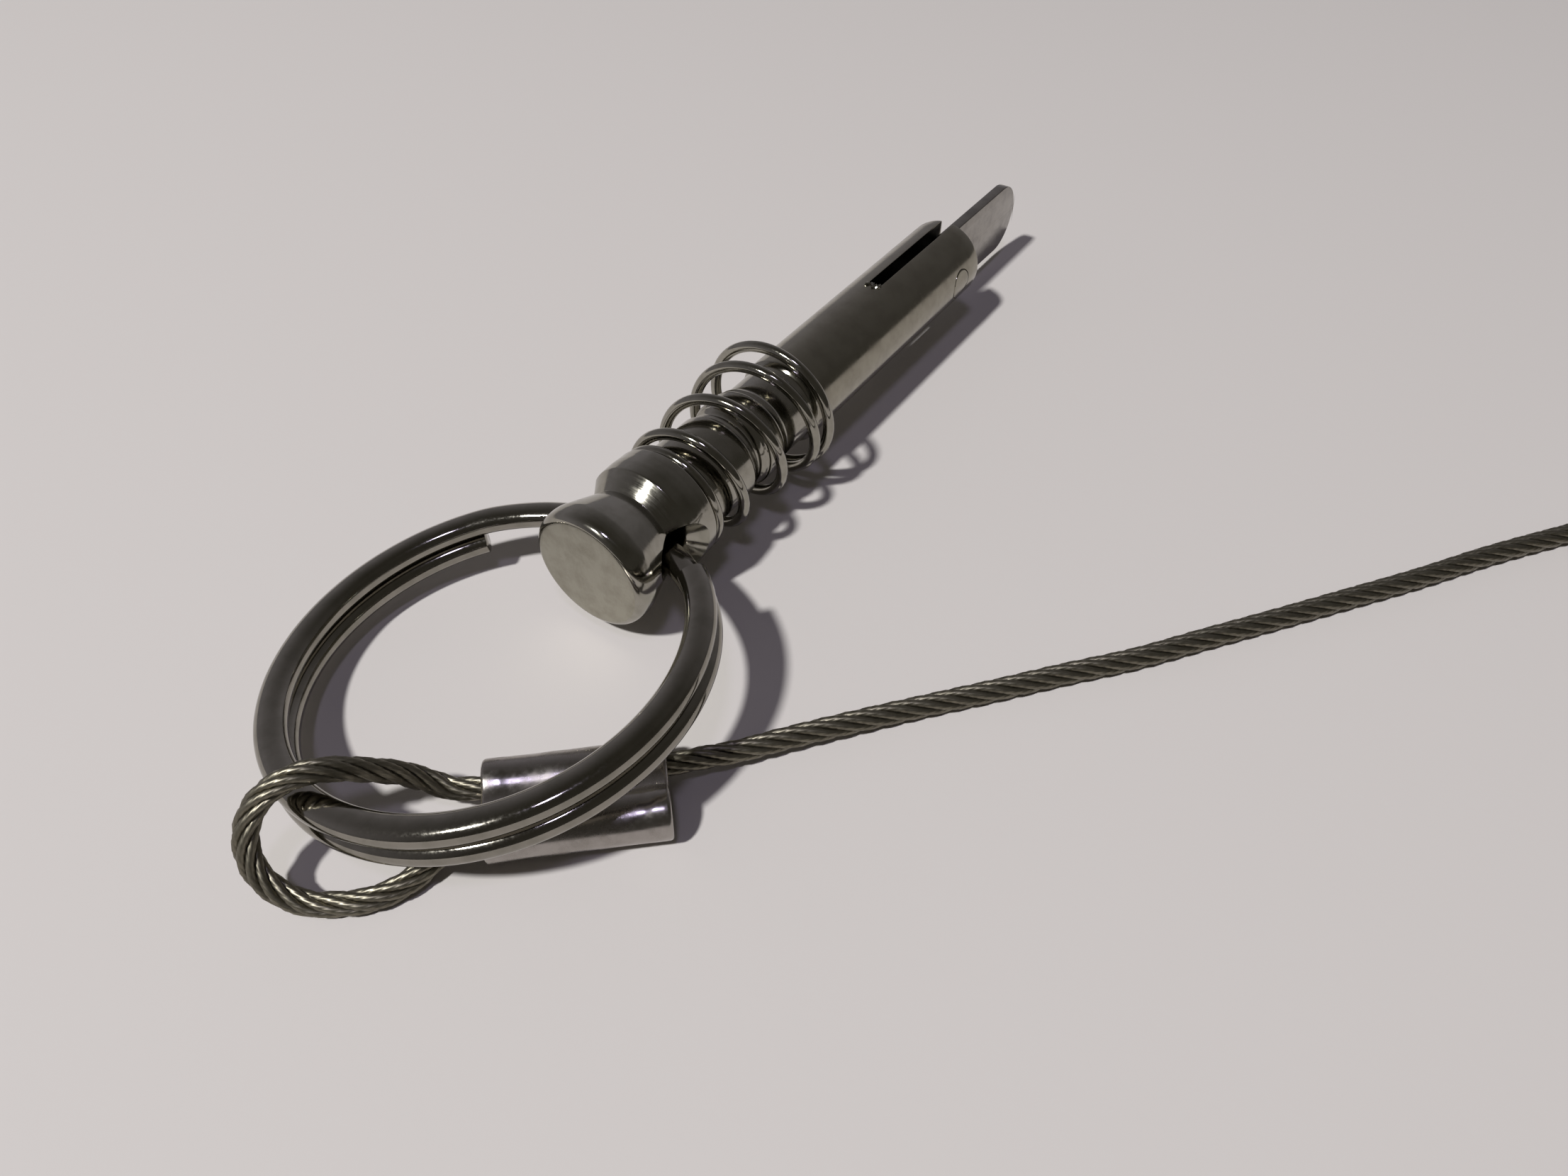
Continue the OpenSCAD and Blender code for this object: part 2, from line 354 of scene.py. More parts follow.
def grow(name: str, line_mm: Sequence, tree: Tree, sizes: dict[str, float]) -> Piece:
    """Runs a Geometry Nodes tree on a line and keeps the mesh that it gives.

    Args:
        name: The new object's name.
        line_mm: The line's points in millimetres.
        tree: The tree.
        sizes: The tree's named sizes.

    Returns:
        The linked object, a plain mesh.
    """
    mesh = bpy.data.meshes.new(name)
    points = (np.asarray(line_mm, float) * MM).tolist()
    mesh.from_pydata(points, [(i, i + 1) for i in range(len(points) - 1)], [])
    piece = placed(name, mesh)
    shaper = piece.modifiers.new("shaper", "NODES")
    shaper.node_group = tree
    for item in tree.interface.items_tree:
        if item.item_type == "SOCKET" and item.in_out == "INPUT" and item.name in sizes:
            shaper[item.identifier] = sizes[item.name]
    return bake(piece)


def ramp(tree: Tree, value: Socket, low_high: Pair, out: Pair) -> Socket:
    """Maps one range of a value onto another, and holds it at the ends."""
    given = {0: value, 1: low_high[0], 2: low_high[1], 3: out[0], 4: out[1]}
    return add(tree, "ShaderNodeMapRange", given, clamp=True).outputs[0]


def mixed(tree: Tree, share: Socket, first: Sequence, second: Sequence) -> Socket:
    """Mixes two colours by a share, which is 0 for the first."""
    given = {MIX_SHARE: share, MIX_FIRST: first, MIX_SECOND: second}
    return add(tree, "ShaderNodeMix", given, data_type="RGBA").outputs[2]


def rings_to_faces(rings: int, sides: int, first: int = 0) -> list[tuple[int, ...]]:
    """Joins closed rings of vertices into a tube with both of its ends closed.

    Args:
        rings: How many rings there are.
        sides: How many vertices each has.
        first: The number of the first vertex.

    Returns:
        The faces, the two ends last.
    """
    faces = []
    for i in range(rings - 1):
        for k in range(sides):
            n = (k + 1) % sides
            a, b = first + i * sides, first + (i + 1) * sides
            faces.append((a + k, a + n, b + n, b + k))
    faces.append(tuple(first + k for k in reversed(range(sides))))
    faces.append(tuple(first + (rings - 1) * sides + k for k in range(sides)))
    return faces


# ---- Finishes


@dataclass(frozen=True)
class SteelFinish:
    """A bare metal surface, described by how it was made.

    Wear is a soft blotch pattern between the bright metal and its duller, darker skin; tints and
    roughness give the first and then the second. Marks are short lines that run along the axes
    with a low mark_stretch.
    """

    name: str
    tints: tuple[str, str]
    roughness: Pair
    mark_mm: float
    mark_stretch: Point
    bump_um: float
    grain_mm: float = 0.35
    pitting: float = 0.3
    wear: Pair = (0.42, 0.72)
    streak: Pair = (-0.02, 0.05)

    def material(self) -> bpy.types.Material:
        """Builds the node material.

        Returns:
            The material.
        """
        mat = bpy.data.materials.new(self.name)
        mat.use_nodes = True
        tree = mat.node_tree
        tree.nodes.clear()
        spot = add(tree, "ShaderNodeTexCoord").outputs["Object"]
        scale = [s / (self.mark_mm * MM) for s in self.mark_stretch]
        drawn_out = add(tree, "ShaderNodeMapping", {"Vector": spot, "Scale": scale}).outputs[0]
        lines = {"Vector": drawn_out, "Scale": 1.0, "Detail": 4.0}
        marks = add(tree, "ShaderNodeTexNoise", lines).outputs["Fac"]
        grain = {"Vector": spot, "Scale": 1 / (self.grain_mm * MM), "Detail": 5.0}
        blotch = add(tree, "ShaderNodeTexNoise", {**grain, "Roughness": 0.62}).outputs["Fac"]
        worn = ramp(tree, blotch, self.wear, (0.0, 1.0))
        colour = mixed(tree, worn, *(linear(tint) for tint in self.tints))
        base = ramp(tree, worn, (0.0, 1.0), self.roughness)
        streak = ramp(tree, marks, (0.35, 0.7), self.streak)
        total = {0: base, 1: streak}
        rough = add(tree, "ShaderNodeMath", total, operation="ADD", use_clamp=True).outputs[0]
        heights = {0: blotch, 1: self.pitting, 2: marks}
        height = add(tree, "ShaderNodeMath", heights, operation="MULTIPLY_ADD").outputs[0]
        relief = {"Height": height, "Strength": 1.0, "Distance": self.bump_um * UM}
        normal = add(tree, "ShaderNodeBump", relief).outputs["Normal"]
        look = {"Base Color": colour, "Metallic": 1.0, "Roughness": rough, "Normal": normal}
        shader = add(tree, "ShaderNodeBsdfPrincipled", look)
        add(tree, "ShaderNodeOutputMaterial", {"Surface": shader.outputs[0]})
        return mat


class Steel(Enum):
    """The finishes that the pieces share."""

    # Bar stock turned on a lathe, then barrel polished: a mirror with fine rings round the axis.
    TURNED = SteelFinish(
        "turned_stainless_steel", ("#A19E94", "#908D82"), roughness=(0.09, 0.19),
        mark_mm=0.08, mark_stretch=(1.0, 0.05, 0.05), bump_um=0.3, grain_mm=1.1,
    )
    # The head's end, faced off and left: dull, warm and faintly mottled.
    FACED = SteelFinish(
        "faced_stainless_steel", ("#A5A295", "#979385"), roughness=(0.34, 0.44),
        mark_mm=0.12, mark_stretch=(0.4, 1.0, 0.25), bump_um=1.2, grain_mm=1.3,
    )
    # The centreless ground shank: short marks round the pin under a dull bloom.
    GROUND = SteelFinish(
        "ground_stainless_steel", ("#9B9789", "#8B8679"), roughness=(0.13, 0.24),
        mark_mm=0.09, mark_stretch=(0.8, 0.12, 0.12), bump_um=0.6, grain_mm=1.6,
    )
    # Painted shade: near-black steel on the sawn slot faces and the stamped blade tail that turns
    # between them, where the deep slot lies in shade.
    SLOT_SHADE = SteelFinish(
        "painted_slot_shade_steel", ("#36332F", "#25231F"), roughness=(0.3, 0.42),
        mark_mm=0.1, mark_stretch=(0.3, 1.0, 1.0), bump_um=0.8,
    )
    # Stamped plate, tumbled with stones: soft edges and a mottled grey skin.
    STAMPED = SteelFinish(
        "tumbled_steel_plate", ("#99958E", "#827E79"), roughness=(0.13, 0.24),
        mark_mm=0.15, mark_stretch=(0.35, 1.0, 0.7), bump_um=0.9, grain_mm=1.2,
    )
    # Cold drawn spring wire: very smooth, with faint lines along the wire.
    SPRING = SteelFinish(
        "drawn_spring_steel", ("#9E9B91", "#8E8B80"), roughness=(0.07, 0.14),
        mark_mm=0.06, mark_stretch=(1.0, 0.5, 0.5), bump_um=0.3, grain_mm=0.9,
    )
    # Rolled ring wire, polished once coiled: a deep mirror with a few fine scratches.
    RING = SteelFinish(
        "polished_ring_steel", ("#959188", "#858278"), roughness=(0.07, 0.15),
        mark_mm=0.08, mark_stretch=(0.5, 0.5, 1.0), bump_um=0.3, grain_mm=1.4,
    )
    # An aluminium sleeve pressed in a crimping tool: bright, and scuffed where the jaws held it.
    SLEEVE = SteelFinish(
        "pressed_aluminium_sleeve", ("#A7A29D", "#938D87"), roughness=(0.19, 0.36),
        mark_mm=0.12, mark_stretch=(0.4, 0.4, 1.0), bump_um=0.8, grain_mm=1.8,
    )
    # Stranded stainless wire: each wire is bright on its crown.
    ROPE = SteelFinish(
        "stranded_stainless_wire", ("#7F7A6C", "#6B675B"), roughness=(0.38, 0.5),
        mark_mm=0.05, mark_stretch=(1.0, 1.0, 1.0), bump_um=0.3, grain_mm=0.6,
    )

    def get(self) -> bpy.types.Material:
        """Gives the finish's material, which is built the first time that it is asked for."""
        return bpy.data.materials.get(self.value.name) or self.value.material()


def settle(
    piece: Piece, body: Body, slot: str, *nodes: str, finishes: Sequence[Steel] = ()
) -> Piece:
    """Dresses a piece, rides it on its body and hides the solids it stands for.

    Args:
        piece: The piece.
        body: The body that it rides on.
        slot: Not used.
        nodes: The solids that it replaces.
        finishes: Its finishes, in the order of its material slots; none where it has them.

    Returns:
        The same piece.
    """
    for finish in finishes:
        piece.data.materials.append(finish.get())
    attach(piece, body.value)
    if nodes:
        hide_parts(*nodes)
    triangles = sum(len(p.vertices) - 2 for p in piece.data.polygons)
    log.info("%s: %d triangles on %s", piece.name, triangles, body.value)
    return piece


def paint(piece: Piece, finishes: Sequence[Steel], choose: Callable[[Vector], Steel]) -> None:
    """Gives a piece its finishes, and each face one of them.

    Args:
        piece: The piece.
        finishes: Its finishes, in the order of its material slots.
        choose: Gives the finish for a face's middle in millimetres.
    """
    for finish in finishes:
        piece.data.materials.append(finish.get())
    for poly in piece.data.polygons:
        poly.material_index = finishes.index(choose(poly.center / MM))


# ---- Camera, table and light


@dataclass
class Studio:
    """A camera behind the pin's head, a plain pale table and plain light."""

    eye_mm: Point = (-52.896, -35.112, 47.106)
    azimuth_deg: float = -56.837
    elevation_deg: float = 46.016
    roll_deg: float = 0.97
    focal_px: float = 1578.263
    sensor_mm: float = 36.0
    table_hex: str = "#CBC6C2"
    table_half: float = 1.5
    table_roughness: float = 0.85
    tooth_mm: float = 0.8
    tooth_um: float = 4.0
    lamp_distance: float = 1.2
    bright_wall: tuple[str, float] = ("#B8B4BA", 0.52)
    dark_wall: tuple[str, float] = ("#8D887C", 0.2)
    bright_way: Point = (0.3, 0.95, 0.1)
    room_height: Pair = (0.3, 1.0)
    room_facing: Pair = (-0.5, 0.5)
    room_least: float = 0.05

    def camera(self) -> None:
        """Sets up the camera, which looks along the pin and down."""
        data = bpy.data.cameras.new("camera")
        data.sensor_fit = "HORIZONTAL"
        data.sensor_width = self.sensor_mm
        data.lens = self.focal_px * self.sensor_mm / RENDER_PX
        data.clip_start = 1.0 * MM
        eye = placed("camera", data)
        turn = turned(self.azimuth_deg, "Z") @ turned(90 - self.elevation_deg, "X")
        turn = turn @ turned(self.roll_deg, "Z")
        eye.matrix_world = Matrix.Translation(Vector(self.eye_mm) * MM) @ turn
        bpy.context.scene.camera = eye

    def table(self) -> None:
        """Lays pale card under the object, with a faint tooth."""
        h = self.table_half
        mesh = bpy.data.meshes.new("table")
        corners = [(x * h, y * h, REST_Z) for x, y in ((-1, -1), (1, -1), (1, 1), (-1, 1))]
        mesh.from_pydata(corners, [], [(0, 1, 2, 3)])
        table = placed("table", mesh)
        mat = bpy.data.materials.new("pale_card")
        mat.use_nodes = True
        tree = mat.node_tree
        spot = add(tree, "ShaderNodeTexCoord").outputs["Object"]
        fibres = {"Vector": spot, "Scale": 1 / (self.tooth_mm * MM), "Detail": 3.0}
        tooth = add(tree, "ShaderNodeTexNoise", fibres).outputs["Fac"]
        relief = {"Height": tooth, "Strength": 1.0, "Distance": self.tooth_um * UM}
        bump = add(tree, "ShaderNodeBump", relief)
        shader = tree.nodes["Principled BSDF"]
        shader.inputs["Base Color"].default_value = linear(self.table_hex)
        shader.inputs["Roughness"].default_value = self.table_roughness
        tree.links.new(bump.outputs["Normal"], shader.inputs["Normal"])
        mesh.materials.append(mat)

    def lamp(self, name: str, way: Point, size: float, watts: float, tint: str) -> None:
        """Hangs one round area lamp that shines onto the object.

        Args:
            name: The lamp's name.
            way: The direction that its light travels.
            size: Its width, in metres.
            watts: Its power.
            tint: Its colour, as an sRGB hex code.
        """
        data = bpy.data.lights.new(name, "AREA")
        data.color = linear(tint)[:3]
        data.shape = "ELLIPSE"
        data.size = data.size_y = size
        data.energy = watts
        lamp = placed(name, data)
        along = Vector(way).normalized()
        lamp.location = -along * self.lamp_distance
        lamp.rotation_euler = along.to_track_quat("-Z", "Y").to_euler()

    def light(self) -> None:
        """Lights the table with a key lamp, a dim violet one and a room with one bright side."""
        self.lamp("key_lamp", way=(0.567, -0.141, -0.812), size=0.09, watts=14.4, tint="#FFFFFF")
        self.lamp("second_lamp", way=(0.3, 0.16, -0.94), size=0.16, watts=1.25, tint="#DED7FF")
        world = bpy.data.worlds.new("room")
        world.use_nodes = True
        tree = world.node_tree
        way = add(tree, "ShaderNodeTexCoord").outputs["Generated"]
        both = {0: way, 1: Vector(self.bright_way).normalized()}
        facing = add(tree, "ShaderNodeVectorMath", both, operation="DOT_PRODUCT").outputs["Value"]
        height = add(tree, "ShaderNodeSeparateXYZ", {0: way}).outputs["Z"]
        low = ramp(tree, height, self.room_height, (1.0, 0.0))
        near = ramp(tree, facing, self.room_facing, (self.room_least, 1.0))
        share = add(tree, "ShaderNodeMath", {0: low, 1: near}, operation="MULTIPLY").outputs[0]
        walls = (self.dark_wall, self.bright_wall)
        ends = [[c * power for c in linear(code)[:3]] + [1.0] for code, power in walls]
        tree.links.new(mixed(tree, share, *ends), tree.nodes["Background"].inputs["Color"])
        bpy.context.scene.world = world

    def build(self) -> None:
        """Builds the camera, the table and the light."""
        bpy.context.scene.view_settings.view_transform = "Standard"
        self.camera()
        self.table()
        self.light()


# ---- Lanyard


@dataclass
class Sleeve:
    """A crimped sleeve of two joined barrels, lying flat around two runs of the rope.

    Its own frame has u along it and v across it.
    """

    name: str
    at: Pair
    turn_deg: float
    length: float = 9.75
    barrel_d: float = 3.0
    pitch: float = 3.0
    axis_z: float = -3.5
    web_share: float = 0.36
    web_half: float = 1.1
    web_fade: float = 0.5
    bore_r: float = 0.68
    bore_sides: int = 32
    flare_r: float = 1.03
    flare_in: float = 0.25
    flare_out: float = 0.3
    edge_r: float = 0.22
    pressed: float = 0.06
    pressed_half: float = 3.4
    pressed_fade: float = 0.5
    ripple: float = 0.012
    ripple_length: float = 2.2
    arc_steps: int = 40

    def spot(self, u: float, v: float, z: float | None = None) -> Point:
        """Sets a point of the sleeve's own frame down where the sleeve lies.

        Args:
            u: How far along the sleeve.
            v: How far across it.
            z: Its height, or None for the sleeve's axis.

        Returns:
            The point in millimetres.
        """
        a = radians(self.turn_deg)
        x = self.at[0] + u * cos(a) - v * sin(a)
        y = self.at[1] + u * sin(a) + v * cos(a)
        return x, y, self.axis_z if z is None else z

    def bore_point(self, u: float, side: int) -> Point:
        """A point on the axis of one of its two bores."""
        return self.spot(u, side * self.pitch / 2)

    def section(self, shrink: float, squeeze: float) -> list[Pair]:
        """Outline across the sleeve, as (v, z) about its middle.

        Args:
            shrink: How far the outline is drawn in.
            squeeze: How much lower the pressed part is, as a share.

        Returns:
            The outline, always with the same count of points.
        """
        r = self.barrel_d / 2 - shrink
        web = self.web_share * self.barrel_d - shrink
        reach = degrees(asin(web / r))
        right = arc(self.pitch / 2, 0.0, r, reach - 180, 180 - reach, self.arc_steps)
        left = arc(-self.pitch / 2, 0.0, r, reach, 360 - reach, self.arc_steps)
        loop = np.array(right + left)
        smooth = loop.copy()
        for _ in range(2):
            smooth = (np.roll(smooth, 1, axis=0) + 2 * smooth + np.roll(smooth, -1, axis=0)) / 4
        near_web = (self.web_half - np.abs(loop[:, 0])) / self.web_fade
        near_web = np.clip(near_web, 0, 1)[:, None]
        loop = loop * (1 - near_web) + smooth * near_web
        loop[:, 1] *= 1 - squeeze
        return [tuple(p) for p in loop]

    def build(self, node: str) -> Piece:
        """Builds the sleeve and dresses it.

        Args:
            node: The solid that it replaces.

        Returns:
            The finished piece.
        """
        half, edge = self.length / 2, self.edge_r
        quarter = np.radians(np.linspace(0, 90, 6))
        rim = [(half - edge * (1 - sin(t)), edge * (1 - cos(t))) for t in quarter]
        body = [(u, 0.0) for u in np.linspace(-half + 2 * edge, half - 2 * edge, 41)]
        stations = [(-u, s) for u, s in reversed(rim)] + body + rim
        verts = []
        for u, shrink in stations:
            past = (abs(u) - self.pressed_half) / self.pressed_fade
            squeeze = self.pressed * (1 - min(1.0, max(0.0, past)))
            if past < 0:
                squeeze += self.ripple * cos(2 * pi * u / self.ripple_length)
            verts += [self.spot(u, v, self.axis_z + z) for v, z in self.section(shrink, squeeze)]
        faces = rings_to_faces(len(stations), 2 * (self.arc_steps + 1))
        piece = mesh_object(self.name, verts, faces, 40)
        self.bore(piece)
        return settle(piece, Body.RING, "ferrule_metal", node, finishes=[Steel.SLEEVE])

    def bore(self, piece: Piece) -> None:
        """Opens the two bores, each with a flared mouth at both ends.

        Args:
            piece: The solid sleeve.
        """
        inside, outside = self.length / 2 - self.flare_in, self.length / 2 + self.flare_out
        wall = [(-outside, self.flare_r), (-inside, self.bore_r)]
        wall += [(-u, r) for u, r in reversed(wall)]
        verts, faces = [], []
        for side in (-1, 1):
            faces += rings_to_faces(len(wall), self.bore_sides, len(verts))
            for u, v, z in spun(wall, self.bore_sides):
                verts.append(self.spot(u, side * self.pitch / 2 + v, self.axis_z + z))
        cut_away(piece, mesh_object("bores", verts, faces), 40)


def cut_away(piece: Piece, tool: Piece, sharp_deg: float) -> None:
    """Cuts one closed mesh away from another and removes the tool.

    Args:
        piece: The piece that is cut.
        tool: The mesh that is taken away.
        sharp_deg: Edges that turn more than this stay sharp.
    """
    cut = piece.modifiers.new("cut", "BOOLEAN")
    cut.operation = "DIFFERENCE"
    cut.solver = "EXACT"
    cut.object = tool
    bake(piece)
    bpy.data.objects.remove(tool)
    piece.data.materials.clear()
    soften(piece, sharp_deg)


@dataclass
class WireRope:
    """The lanyard's wire rope, which runs from sleeve to sleeve with an eye at each end.

    Six strands turn right-handed round a core, and each strand is six wires that turn the other
    way round a seventh.
    """

    near: Sleeve
    far: Sleeve
    diameter: float = 1.35
    strands: int = 6
    strand_r: float = 0.22
    lay: float = 8.5
    wire_lay: float = 3.6
    core_r: float = 0.23
    flute: float = 0.07
    strand_sides: int = 18
    core_sides: int = 8
    step: float = 0.36
    low_z: float = -4.325
    coil_at: Pair = (24.0, -58.8)
    coil_r: float = 7.4
    coil_start_deg: float = 54.2
    coil_turns: float = 1.25
    coil_steps: int = 20
    coil_high_z: float = -2.975
    climb_from: float = 0.2
    climb_turns: float = 0.72

    def near_eye(self) -> list[Point]:
        """Lays the eye round the split ring, from the near sleeve and back to it.

        Returns:
            Its points.
        """
        z = self.low_z
        low = [(-37.4, -4.2, -3.9), (-38.7, -4.0, -4.2), (-40.0, -3.6, z), (-41.3, -2.8, z)]
        outer = [(-42.2, -1.8, z), (-43.0, -0.7, -4.2), (-43.5, 0.5, -3.7), (-43.6, 1.8, -2.7)]
        crown = [(-43.1, 2.6, -1.4), (-42.3, 2.8, -0.3), (-41.4, 2.6, 0.5), (-40.5, 2.2, 0.9)]
        back = [(-39.6, 1.7, 1.0), (-38.8, 1.2, 0.8), (-37.9, 0.7, 0.2), (-36.9, 0.2, -0.7)]
        down = [(-35.8, -0.4, -1.8), (-35.0, -1.2, -2.8), (-34.4, -2.2, -3.4)]
        return low + outer + crown + back + down

    def line(self) -> list[Point]:
        """Lays the run along the surface, from the near sleeve to the coil.

        Returns:
            Its points.
        """
        z = self.low_z
        start = [(-25.3, -11.7, -3.7), (-23.8, -12.9, -3.9), (-21.5, -14.6, -4.0)]
        start.append((-18.0, -17.3, -4.15))
        flat = [(-14.6, -20.0), (-11.3, -22.8), (-7.8, -25.7), (-4.3, -28.7), (-0.3, -31.7)]
        flat += [(3.8, -34.8), (8.1, -38.0), (12.7, -41.4), (17.6, -44.8), (22.5, -48.5)]
        flat.append((26.0, -51.2))
        return start + [(x, y, z) for x, y in flat]

    def coil(self) -> list[Point]:
        """Lays the stored turn, which climbs onto itself by one rope's thickness.

        Returns:
            Its points.
        """
        out = []
        for i in range(self.coil_steps + 1):
            t = self.coil_turns * i / self.coil_steps
            a = radians(self.coil_start_deg - 360 * t)
            rise = min(1.0, max(0.0, (t - self.climb_from) / self.climb_turns))
            z = self.low_z + (self.coil_high_z - self.low_z) * rise * rise * (3 - 2 * rise)
            x = self.coil_at[0] + self.coil_r * cos(a)
            out.append((x, self.coil_at[1] + self.coil_r * sin(a), z))
        return out

    def far_eye(self) -> list[Point]:
        """Lays the eye at the far end, on the surface.

        Returns:
            Its points.
        """
        z = self.low_z
        half = [(6.6, -1.7, -3.8), (9.0, -2.6, -4.2), (11.6, -4.0, z), (14.4, -4.9, z)]
        half += [(17.2, -4.5, z), (19.4, -2.7, z)]
        back = [(u, -v, w) for u, v, w in reversed(half)]
        return [self.far.spot(*p) for p in (*half, (20.2, 0.0, z), *back)]

    def route(self) -> np.ndarray:
        """Lays the whole centreline, whose two ends stop 0.5 mm inside their sleeves.

        Returns:
            Its points at even steps, in millimetres.
        """
        near, far, h = self.near.bore_point, self.far.bore_point, self.near.length / 2
        tail, lead = 0.5, 0.3
        line = [near(h - tail, -1), near(-h - 0.9, -1), *self.near_eye()]
        line += [near(-h - 0.4, 1), near(h + lead, 1), *self.line(), *self.coil()]
        line += [(28.9, -64.7, -3.05), (27.8, -66.2, -3.3), far(-h - 0.5, -1), far(h + lead, -1)]
        line += [*self.far_eye(), far(h + lead, 1), far(tail - h, 1)]
        return even(line, self.step)

    def tree(self) -> Tree:
        """Builds the Geometry Nodes tree that lays the strands along the line.

        Returns:
            The tree, whose sizes are metres and metres per turn.
        """
        lengths = ("Strand radius", "Strand centre", "Core radius", "Lay", "Wire lay")
        sizes = {"Strands": "NodeSocketInt", **dict.fromkeys(lengths, "NodeSocketFloat")}
        tree, size, line = shape_tree("rope_lay", sizes)
        copies = {"Geometry": line, "Amount": size["Strands"]}
        many = add(tree, "GeometryNodeDuplicateElements", copies, domain="SPLINE")
        along = add(tree, "GeometryNodeSplineParameter").outputs["Length"]

        def maths(operation: str, a: object, b: object = 0.0) -> Socket:
            """Adds one Math node."""
            return add(tree, "ShaderNodeMath", {0: a, 1: b}, operation=operation).outputs[0]

        def vectors(operation: str, a: object, b: object) -> Socket:
            """Adds one Vector Math node."""
            given = {0: a, ("Scale" if operation == "SCALE" else 1): b}
            return add(tree, "ShaderNodeVectorMath", given, operation=operation).outputs[0]

        def moved(shape: Socket, offset: Socket) -> Socket:
            """Adds one Set Position node."""
            given = {"Geometry": shape, "Offset": offset}
            return add(tree, "GeometryNodeSetPosition", given).outputs[0]

        share = maths("DIVIDE", many.outputs["Duplicate Index"], size["Strands"])
        turns = maths("ADD", share, maths("DIVIDE", along, size["Lay"]))
        angle = maths("MULTIPLY", turns, 2 * pi)
        normal = add(tree, "GeometryNodeInputNormal").outputs[0]
        side = vectors("CROSS_PRODUCT", add(tree, "GeometryNodeInputTangent").outputs[0], normal)
        over = vectors("SCALE", normal, maths("COSINE", angle))
        across = vectors("ADD", over, vectors("SCALE", side, maths("SINE", angle)))
        laid = moved(many.outputs[0], vectors("SCALE", across, size["Strand centre"]))
        twist = maths("MULTIPLY", maths("DIVIDE", along, size["Wire lay"]), -2 * pi)
        twisted = add(tree, "GeometryNodeSetCurveTilt", {"Curve": laid, "Tilt": twist}).outputs[0]
        place = add(tree, "GeometryNodeInputPosition").outputs[0]
        number = add(tree, "GeometryNodeInputIndex").outputs[0]
        wires = maths("COSINE", maths("MULTIPLY", number, 2 * pi / 3))
        fluted = vectors("SCALE", place, maths("MULTIPLY", wires, self.flute))
        ring = round_profile(tree, self.strand_sides, size["Strand radius"])
        strands = swept(tree, twisted, moved(ring, fluted))
        core = swept(tree, line, round_profile(tree, self.core_sides, size["Core radius"]))
        both = add(tree, "GeometryNodeJoinGeometry")
        for part in (strands, core):
            tree.links.new(part, both.inputs[0])
        close_tree(tree, both.outputs[0], Steel.ROPE.get())
        return tree

    def build(self) -> tuple[Piece, np.ndarray]:
        """Builds the rope.

        Returns:
            The finished piece and its centreline in millimetres.
        """
        path = self.route()
        sizes = {
            "Strands": self.strands,
            "Strand radius": self.strand_r * MM,
            "Strand centre": (self.diameter / 2 - (1 + self.flute) * self.strand_r) * MM,
            "Core radius": self.core_r * MM,
            "Lay": self.lay * MM,
            "Wire lay": self.wire_lay * MM,
        }
        piece = grow("wire_rope", path, self.tree(), sizes)
        return settle(piece, Body.RING, "wire_rope", "rope_line", "rope_coil", "rope_end"), path


@dataclass
class Lanyard:
    """The short wire rope and the two crimped sleeves that close its eyes."""

    near: Sleeve = field(default_factory=lambda: Sleeve("near_sleeve", (-31.13, -8.05), -47.0))
    far: Sleeve = field(default_factory=lambda: Sleeve("far_sleeve", (24.3, -73.6), -125.8))

    def build(self) -> None:
        rope, path = WireRope(self.near, self.far).build()
        sleeves = [self.near.build("near_ferrule"), self.far.build("far_ferrule")]


# ---- Split ring


